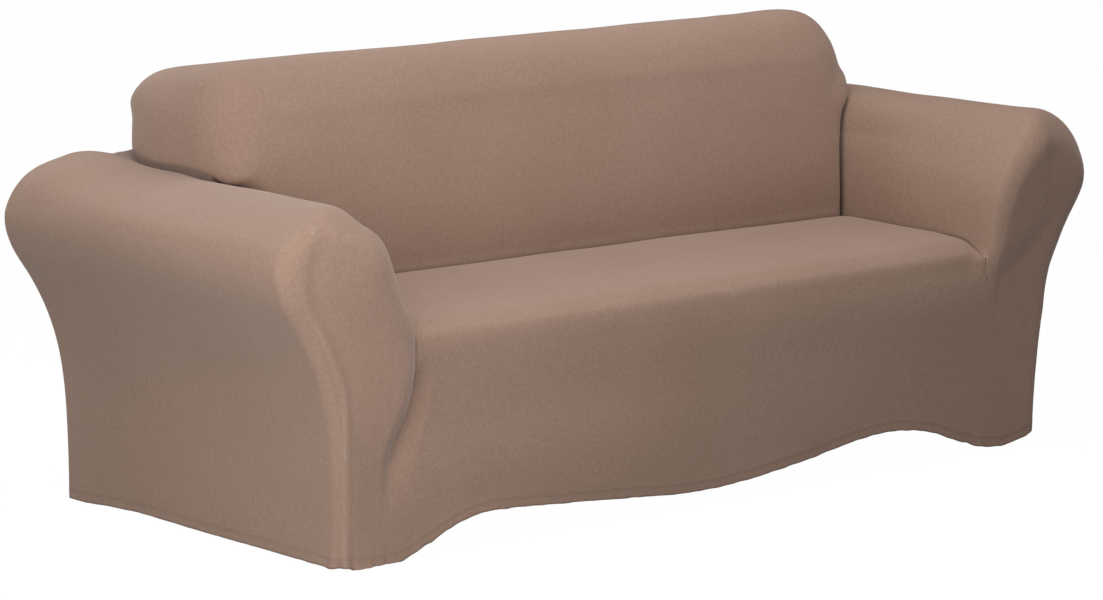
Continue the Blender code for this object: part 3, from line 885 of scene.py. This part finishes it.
def settle(places):
    """How far the cloth has settled: the near roll has sunk a little, the far one stands higher."""
    x, y, z = places.T
    out = np.abs(x)

    def by_side(at, tables):
        near, far = [np.interp(at, *table) for table in tables]
        return np.where(x < 0.0, near, far)

    on_roll = smoothstep(0.59, 0.67, z) * smoothstep(0.77, 0.84, out) * gone(0.70, 0.76, z)
    up = on_roll * by_side(y, ROLL_RISES)
    up -= PLEATS_SINK * on_roll * bell(out, 0.85, 0.03) * smoothstep(0.15, 0.30, y)
    deck = smoothstep(0.41, 0.435, z) * gone(0.455, 0.47, z) * gone(0.760, 0.775, out)
    up += deck * (np.interp(x, *DECK_RISE) * smoothstep(-0.30, 0.0, y) - DECK_SINK * gone(-0.36, -0.25, y))
    low = np.maximum(0.0, 1.0 - z / HEM_REACH)
    up += low * np.interp(y, *SIDE_HEM_RISE) * smoothstep(0.88, 0.93, -x)
    up += low * np.interp(x, *FAR_FOOT_RISE) * gone(-0.30, 0.1, y)
    near_foot = smoothstep(-0.935, -0.905, x) * gone(-0.82, -0.76, x) * gone(-0.38, -0.30, y)
    up -= NEAR_FOOT_SINK * low * near_foot
    up += BACK_TOP_RISE * smoothstep(0.80, 0.86, z)
    right = np.sign(x) * by_side(z, ROLL_ENDS) * smoothstep(-0.20, 0.0, y) * bell(out, 0.81, 0.06)
    right -= by_side(z, ARM_SIDES) * smoothstep(0.90, 0.93, out)
    beside_drop = bell(x, -0.775, 0.05) * gone(-0.36, -0.30, y)
    right += DROP_SHIFT * beside_drop * smoothstep(0.14, 0.26, z) * gone(0.43, 0.50, z)
    furrow = bell(y, ARM_LINE + BACK_PLANE, 0.012) * bell(z, SEAT_HEIGHT, 0.012)
    return np.column_stack((right, -FURROW_SHIFT * furrow * gone(0.740, 0.765, out), up))


def closed(places, from_tuck, share, line, depth):
    """Brings the two edges of a tuck together, at a line in X and a depth in Y."""
    closing = smoothstep(0.0, 0.6, share) * bell(from_tuck, 0.0, EDGE_REACH)
    places[:, 0] += closing * (line - places[:, 0])
    places[:, 1] += closing * (depth + EDGE_REACH - places[:, 1])


def bridged(places, from_tuck):
    """Where the front tucks end, the cloth is drawn across: a shallow dip far off, a soft valley near by."""
    x, y, z = places.T
    places = places.copy()
    in_front = gone(-0.370, -0.345, y)
    dip = np.interp(z, *FAR_DIP)
    dip += smoothstep(0.735, 0.788, x) * (FAR_FLAT - dip)
    share = smoothstep(0.725, 0.745, x) * gone(0.79, 0.81, x) * in_front
    share *= smoothstep(0.27, 0.34, z) * gone(0.400, 0.428, z)
    places[:, 1] -= DRAWN * share * np.maximum(0.0, y - dip)
    closed(places, from_tuck, share, np.interp(z, *FAR_LINE), dip)
    line, dip, flat = [np.interp(z, *table) for table in (NEAR_LINE, NEAR_DIP, NEAR_FLAT)]
    away = x - line
    valley = flat + (dip - flat) * gone(0.0, 0.060, np.abs(away))
    share = smoothstep(0.09, 0.13, z) * gone(0.30, 0.37, z) * in_front * (x < -0.6)
    share *= gone(0.045, 0.062, np.abs(away))
    places[:, 1] -= DRAWN * share * np.where(away > 0.0, y - valley, np.maximum(0.0, y - dip))
    closed(places, from_tuck, share, line, dip)
    return places


def relaxed(places, edges, centre, reach, rounds):
    """Lets the cloth round a point draw itself smooth."""
    away = np.linalg.norm(places - np.array(centre), axis=1)
    near = away < RELAX_MARGIN * reach
    numbers = np.cumsum(near) - 1
    inside = numbers[edges[near[edges].all(axis=1)]]
    local = places[near]
    share = (bell(away[near], 0.0, reach) * (away[near] < RELAX_EDGE * reach))[:, None]
    for turn in range(rounds):
        local = local + share * (shared_out(local, inside, 1) - local)
    places = places.copy()
    places[near] = local
    return places


def unevenness(places, size, height):
    """Soft hollows and swells of about a size, from smooth noise."""
    return height * np.array([noise.noise(Vector(place) / size) for place in places])


def fold_heights(places):
    return sum(fold(places, *row) for row in FOLDS) + sum(swell(places, *row) for row in SWELLS)


print("folds reach", round(float(fold_heights(places).max()) * 1000, 1), "mm out")

# %% Hem
HEM_BUNCHES = mm([(-935, -405), (-905, -410), (-865, -408), (-700, -407), (720, -407)])
BUNCH_REACH = 0.045
WAVE_REACH = 0.07  # how far above the hem its waves are looked for
WAVES = ((34.0, 2.0), (52.0, 7.0))  # for the rise and the push: how close together, and where in the noise
HEM_RISES = (0.0006, 0.0012, 0.0030)  # all round, as much again at the front, and in a bunch
HEM_PUSHES = (0.0008, 0.0010, 0.0034)


def hem_waves(places, from_hem):
    """How far the hem is drawn up and pushed out: small waves from the elastic, larger ones in bunches."""
    near = np.flatnonzero(from_hem < WAVE_REACH)
    x, y = places[near, :2].T
    drawn, pushed = [
        np.array([noise.noise(Vector((a * rate, b * rate, level))) for a, b in zip(x, y)])
        for rate, level in WAVES]
    front = gone(-0.36, -0.25, y)
    bunched = sum(swell(places[near, :2], centre, BUNCH_REACH, 1.0) for centre in HEM_BUNCHES)
    heights, depths = [size + more * front + most * bunched for size, more, most in (HEM_RISES, HEM_PUSHES)]
    rise, out = np.zeros((2, len(places)))
    rise[near] = gone(0.0, 0.045, from_hem[near]) * drawn * heights
    out[near] = np.exp(-from_hem[near] / 0.022) * pushed * depths
    return rise, out


# %% Move the cloth
JOIN_WIDTHS = (0.0065, 0.010)  # of the crease between arm and back, near and far
JOIN_DEPTH = 1.3  # as a share of the width
FLOOR_GAP = 0.0008  # the lowest cloth rests on the floor
UNEVEN = ((0.30, 0.0025), (0.11, 0.0008))  # size and height of the slow and the quick unevenness

quiet = smoothstep(0.0, 0.05, from_seam) * smoothstep(0.0, 0.05, from_tuck) * smoothstep(0.0, 0.04, from_hem)
places = places + settle(places)
edges = edges_of(cover)
for spot in RELAXED:
    places = relaxed(places, edges, *spot)
places = bridged(places, from_tuck)
move_to(cover, places)
normals = normals_of(cover)
hem_rise, hem_out = hem_waves(places, from_hem)
places[:, 2] += hem_rise
join_width = np.where(places[:, 0] < 0.0, *JOIN_WIDTHS)
heights = hem_out + fold_heights(places) - join_width * JOIN_DEPTH * bell(from_join, 0.0, join_width)
heights += quiet * (unevenness(places, *UNEVEN[0]) + unevenness(places + 5.0, *UNEVEN[1]))
places = places + normals * heights[:, None]
places[:, 2] = np.maximum(places[:, 2], FLOOR_GAP)
move_to(cover, places)
normals = normals_of(cover)
print("moved by", round(float(np.abs(heights).max()) * 1000, 1), "mm at most along the cloth's normals")

# %% [markdown]
# ## Panels
#
# The one surface is cut back into its seven panels. Each keeps a small gap at its seams, where the edges of
# the cloth turn inside, and is given its thickness on the inside.

# %% Cut into panels
SEAM_EASE = 0.00008  # each panel's share of the gap at a seam
BENDS = (3.0, 14.0)  # per metre: where cloth begins to be drawn over an edge, and where it wholly is
BEND_SHARINGS = 6
FURROW_SHADES = (0.9, 0.45, 0.6)  # strength of the painted shade in the furrows behind the seat, beside it, and beside the front drop
SEAT_MIDDLE = 0.74
FLAT_PLACES = numbers_of(cover.uv_layers[0].data, "uv", 2).reshape(-1, 4, 2)  # each corner in the flat cloth


def make_panel(name, panel, places, normals, fields):
    """One closed sheet: the outer face, the same face one thickness inside, and a rim between them."""
    flat = FLAT_PLACES[OWNERS == panel]
    used, renumbered = np.unique(FACES[OWNERS == panel], return_inverse=True)
    faces = renumbered.reshape(-1, 4)
    outer = places[used]
    square = normals[used]
    sides = sides_of(faces)
    which, count = counted(sides)[1:]
    rim = sides[count[which] == 1]
    centres = outer[faces].mean(axis=1)
    pull = np.zeros_like(outer)
    for k in range(4):
        np.add.at(pull, faces[:, k], centres - outer[faces[:, k]])
    edge = np.unique(rim)
    inwards = pull[edge] - square[edge] * np.sum(pull[edge] * square[edge], axis=1)[:, None]
    outer[edge] += SEAM_EASE * inwards / np.linalg.norm(inwards, axis=1)[:, None]
    band = rim[:, [1, 0, 0, 1]]
    mesh = bpy.data.meshes.new(name)
    mesh.from_pydata(
        np.concatenate((outer, outer - square * THICKNESS)), [],
        np.concatenate((faces, faces[:, ::-1] + len(outer), band + np.array([0, 0, 1, 1]) * len(outer))))
    own_flat = np.zeros((len(outer), 2))
    own_flat[faces.ravel()] = flat.reshape(-1, 2)
    layer = mesh.uv_layers.new(name="flat")
    layer.data.foreach_set("uv", np.concatenate((flat, flat[:, ::-1], own_flat[band])).ravel())
    for field, values in fields.items():
        attribute = mesh.attributes.new(field, "FLOAT", "POINT")
        attribute.data.foreach_set("value", np.tile(values[used], 2))
    mesh.shade_smooth()
    mesh.normals_split_custom_set_from_vertices(np.concatenate((square, -square)))
    return placed("knit_" + name, mesh)


def stretched(places, normals, edges):
    """From 0 where the cloth lies flat or hollow to 1 where it is drawn over an edge."""
    step = places[edges[:, 1]] - places[edges[:, 0]]
    size = np.maximum(np.sum(step ** 2, axis=1), 1e-9)
    bend = np.zeros(len(places))
    for end, sign in ((0, -1.0), (1, 1.0)):
        turned = sign * np.sum(step * normals[edges[:, end]], axis=1) / size
        bend += np.bincount(edges[:, end], turned, len(places))
    return smoothstep(*BENDS, shared_out(bend[:, None] / 4.0, edges, BEND_SHARINGS)[:, 0])


def painted_furrow_shade(places):
    """Painted shade, from 0 on open cloth to 1 where it lies deep: along the seat's tucks, the front tuck and
    the join.
    """
    x, y, z = places.T
    behind, beside_seat, beside_drop = FURROW_SHADES
    at_seat = smoothstep(0.40, 0.42, z) * smoothstep(-0.38, -0.30, y)
    tone = np.where(np.abs(x) < SEAT_MIDDLE, behind, beside_seat)
    along_seat = gone(0.023, 0.033, from_tuck) * at_seat * tone
    at_drop = smoothstep(0.20, 0.30, z) * (x < 0.0) * (1.0 - at_seat)
    along_drop = beside_drop * gone(0.014, 0.026, from_tuck) * at_drop
    in_join = np.where(x < 0.0, gone(0.004, 0.015, from_join), gone(0.001, 0.022, from_join))
    return np.maximum.reduce((along_seat, along_drop, in_join))


stretch = stretched(places, normals, edges)
print("drawn over an edge:", round(float((stretch > 0.5).mean()), 3), "of the cloth")
fields = {"seam": from_seam, "furrow": painted_furrow_shade(places), "hem": from_hem, "stretch": stretch}
panels = {name: make_panel(name, number, places, normals, fields) for number, name in enumerate(PANELS)}

# %% [markdown]
# ## The knit
#
# A polyester and elastane jersey, brushed a little on its face: columns of small loops close up, and from
# further off smooth and matt, with a faint mottle and a pale bloom at a slant.

# %% Knit material
WALE = 0.0016  # width of a column of loops; the real one is 0.8 mm, drawn coarser to stay visible
COURSE = 0.0013  # height of a loop
KNIT_STOPS = [(0.25, "7F6455"), (0.47, "937867"), (0.70, "A2897C")]  # dark fibres, dyed yarn, pale fibres
SHEEN_TINT = "EADDD9"
HEM_TURNING = (0.0215, 0.0235)  # the turned-up edge inside shows as a low step between these heights


def set_stops(ramp, stops):
    """Gives a colour ramp its stops; a new ramp has its first and its last already."""
    elements = ramp.node.color_ramp.elements
    for element, (position, code) in zip(elements, (stops[0], stops[-1])):
        element.position = position
        element.color = colour(code)
    for position, code in stops[1:-1]:
        elements.new(position).color = colour(code)


def make_knit():
    """Brushed stretch jersey: loops in relief, a soft mottle, painted shade in the furrows, with a bloom."""
    material, shader, wire = new_material("brushed_stretch_jersey")
    place = wire("TexCoord", None, (), "Object")
    flat = wire("UVMap", {"uv_map": "flat"})

    # The loops: each column is a row of small V shapes, a little irregular.
    drift = wire("TexNoise", None, {"Vector": flat, "Scale": 55.0, "Detail": 1.0})
    across, up = wire("SeparateXYZ", None, (flat,)).node.outputs[:2]
    wale = wire("Math", "MULTIPLY_ADD", (drift, WALE * 0.8, across))
    for operation, value in (("DIVIDE", WALE), ("FRACT", None), ("SUBTRACT", 0.5), ("ABSOLUTE", None)):
        wale = wire("Math", operation, (wale, value))
    course = wire("Math", "MULTIPLY_ADD", (wale, 1.6, wire("Math", "DIVIDE", (up, COURSE))))
    loops = wire("Math", "SINE", (wire("Math", "MULTIPLY", (course, 2.0 * math.pi)),))
    groove = wire("Math", "MULTIPLY", (wale, wale))
    loops = wire("Math", "MULTIPLY_ADD", (groove, -5.0, loops))

    # The colour: slow clouds from the dye, a finer mottle from the brushing, and single darker fibres.
    sizes = ((3.2, 2.0, 0.5), (140.0, 3.0, 0.6), (620.0, 2.0, 0.7), (26.0, 4.0, 0.55))
    clouds, mottle, fibres, crumple = [
        wire("TexNoise", None, {"Vector": place, "Scale": scale, "Detail": detail, "Roughness": rough})
        for scale, detail, rough in sizes]
    tone = wire("Math", "MULTIPLY", (mottle, 0.30))
    for layer, share in ((fibres, 0.55), (clouds, 0.15), (loops, 0.03)):
        tone = wire("Math", "MULTIPLY_ADD", (layer, share, tone))
    dyed = wire("ValToRGB", None, (tone,))
    set_stops(dyed, KNIT_STOPS)

    # Furrows, seams and the hem's edge. Painted shade deep in the furrows and along the hem's edge, where shade
    # falls; at the seams the cloth is packed tighter and holds a little dust.
    seam, furrow, hem, stretch = [wire("Attribute", {"attribute_name": field}, (), "Fac") for field in fields]
    smooth = {"interpolation_type": "SMOOTHSTEP"}
    shade = wire("MapRange", smooth, {"Value": seam, "From Max": 0.0025, "To Min": 0.96})
    # Painted shade in the furrows, up to 0.65 darker.
    shade = wire("Math", "MULTIPLY_ADD", (furrow, -0.65, shade))
    # A little lighter where the cloth is drawn over an edge: partly the thinned knit, partly a painted
    # highlight.
    shade = wire("Math", "MULTIPLY_ADD", (stretch, 0.015, shade))
    # Painted shade along the hem's edge, where the turned-under edge lies in shade: half the colour at the very
    # edge, full 5 mm above it.
    turned = wire("MapRange", smooth, {"Value": hem, "From Max": 0.005, "To Min": 0.50})
    shade = wire("Math", "MULTIPLY", (shade, turned))
    base = wire("VectorMath", "SCALE", {0: dyed, "Scale": shade})

    # The surface: matt, a bit smoother where it is drawn tight. In relief: loops, crumple, seams, the hem.
    rough = wire("MapRange", None, {"Value": mottle, "To Min": 0.96, "To Max": 0.80})
    rough = wire("Math", "MULTIPLY_ADD", (stretch, -0.08, rough))
    ridge = wire("MapRange", smooth, {"Value": seam, "From Max": 0.003})
    doubled = wire("MapRange", smooth, (hem, *HEM_TURNING, 1.0, 0.0))
    relief = None
    for height, strength, depth in (
            (loops, 0.25, 0.00018), (crumple, 0.20, 0.0016), (ridge, 0.20, 0.0005), (doubled, 0.35, 0.0006)):
        bump = {"Height": height, "Strength": strength, "Distance": depth, "Normal": relief}
        relief = wire("Bump", None, bump)
    fill(shader, {
        "Base Color": base, "Roughness": rough, "Normal": relief, "Specular IOR Level": 0.45,
        "Sheen Weight": 0.30, "Sheen Roughness": 0.45, "Sheen Tint": colour(SHEEN_TINT)})
    return material


KNIT = make_knit()
print("material:", KNIT.name)

# %% [markdown]
# ## The stitched hem
#
# The lower edge is turned up once, by 22 mm, and sewn down with a twin needle: two rows of short stitches,
# 4 mm apart, all the way round. A small tree of nodes lays them along a path that follows the hem.

# %% Path of the stitches
STITCH_ROWS = (0.0165, 0.0205)  # above the edge of the hem
STITCH_STEP = 0.0042  # the real ones are 3 mm apart, drawn coarser to stay visible
STITCH_LENGTH = 0.0031
THREAD = 0.0008
THREAD_OUT = 0.2  # how far the middle of the thread stands out of the cloth, in threads
HEM_CLOTH = 0.20  # the stitches lie on cloth below this height
HEM_EDGE = 0.14  # and follow the open edges below this one


def stitch_path(places):
    """A mesh of lines lying on the cloth, one round the hem for each row of stitches."""
    low = FACES[places[FACES][:, :, 2].max(axis=1) < HEM_CLOTH]
    tree = BVHTree.FromPolygons(places.tolist(), low.tolist())
    edges, _, count = counted(sides_of(low))
    hem = edges[(count == 1) & (places[edges][:, :, 2].max(axis=1) < HEM_EDGE)]
    used, ends = np.unique(hem, return_inverse=True)
    points = []
    for row in STITCH_ROWS:
        for place in places[used]:
            spot, normal = tree.find_nearest(Vector(place) + Vector((0.0, 0.0, row)))[:2]
            points.append(spot + normal * THREAD * THREAD_OUT)
    pairs = np.concatenate([ends.reshape(-1, 2) + k * len(used) for k in range(len(STITCH_ROWS))])
    path = bpy.data.meshes.new("hem_stitches")
    path.from_pydata(points, pairs.tolist(), [])
    return path


path = stitch_path(places)
length = np.linalg.norm(np.diff(places_of(path)[edges_of(path)], axis=1), axis=2).sum()
print("stitch path:", len(path.vertices), "points,", round(float(length), 2), "m")


# %% Thread and stitches
def make_thread():
    """Polyester sewing thread, a shade deeper than the knit and a little shinier, with its twist."""
    material, shader, wire = new_material("polyester_thread")
    place = wire("TexCoord", None, (), "Object")
    twist = wire("TexNoise", None, {"Vector": place, "Scale": 900.0, "Detail": 1.0})
    dyed = wire("ValToRGB", None, (twist,))
    set_stops(dyed, [(0.0, "5F4A3E"), (1.0, "7E6658")])
    relief = wire("Bump", None, {"Height": twist, "Strength": 0.4, "Distance": 0.0002})
    fill(shader, {"Base Color": dyed, "Roughness": 0.55, "Normal": relief})
    return material


def stitch_tree(thread):
    """Nodes that lay stitches along lines, one at every step, each a little longer or shorter."""
    tree = bpy.data.node_groups.new("stitches", "GeometryNodeTree")
    wire = partial(add_node, tree)
    for way in ("INPUT", "OUTPUT"):
        tree.interface.new_socket("Geometry", in_out=way, socket_type="NodeSocketGeometry")
    line = wire("GeometryNodeMeshToCurve", None, {"Mesh": wire("NodeGroupInput")})
    line = wire("GeometryNodeResampleCurve", {"mode": "LENGTH"}, {"Curve": line, "Length": STITCH_STEP})
    tangent = wire("GeometryNodeInputTangent")
    turn = wire("FunctionNodeAlignRotationToVector", {"axis": "Z"}, {"Vector": tangent})
    bead = wire("GeometryNodeMeshUVSphere", None, {"Segments": 5, "Rings": 4, "Radius": 0.5})
    bead = wire("GeometryNodeTransform", None, {"Geometry": bead, "Scale": (THREAD, THREAD, STITCH_LENGTH)})
    size = wire("FunctionNodeRandomValue", {"data_type": "FLOAT"}, {2: 0.86, 3: 1.08, "Seed": 4}, 1)
    laid = {"Points": line, "Instance": bead, "Rotation": turn, "Scale": size}
    laid = wire("GeometryNodeInstanceOnPoints", None, laid)
    laid = wire("GeometryNodeRealizeInstances", None, (laid,))
    laid = wire("GeometryNodeSetMaterial", None, {"Geometry": laid, "Material": thread})
    fill(tree.nodes.new("NodeGroupOutput"), (laid,))
    return tree


def lay_stitches(path, thread):
    item = placed("laying", path)
    item.modifiers.new("stitches", "NODES").node_group = stitch_tree(thread)
    mesh = made_real(item)
    mesh.shade_smooth()
    mesh.name = "hem_stitches"
    return placed("hem_stitches", mesh)


stitches = lay_stitches(path, make_thread())
print("stitches:", sum(len(face.vertices) - 2 for face in stitches.data.polygons), "triangles")

# %% [markdown]
# ## What each piece is
#
# Each panel is one sheet that was cut flat and then stretched over the sofa, by about 7% each way. So its cut
# is smaller than what is seen: each flat area is the measured one divided by 1.145. Both arms are cut alike,
# and so are both facings.

ARM_CUT = (0.88, 1.10, 0.81)
FACING_CUT = (0.27, 0.64, 0.094)
CUTS = [(1.59, 0.79, 1.13), (1.96, 0.84, 1.29), (2.00, 0.74, 1.28), ARM_CUT, ARM_CUT, FACING_CUT, FACING_CUT]

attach(stitches, "root")
for (name, piece), (width, length, cut) in zip(panels.items(), CUTS):
    piece.data.materials.append(KNIT)
    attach(piece, "root")
    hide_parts(name)
    area = sum(face.area for face in piece.data.polygons) / 2
    print(name, round(area, 3), "m2, cut", cut, "m2, stretched", round(area / cut, 2))
for item in (cage, cover, path):
    bpy.data.meshes.remove(item)
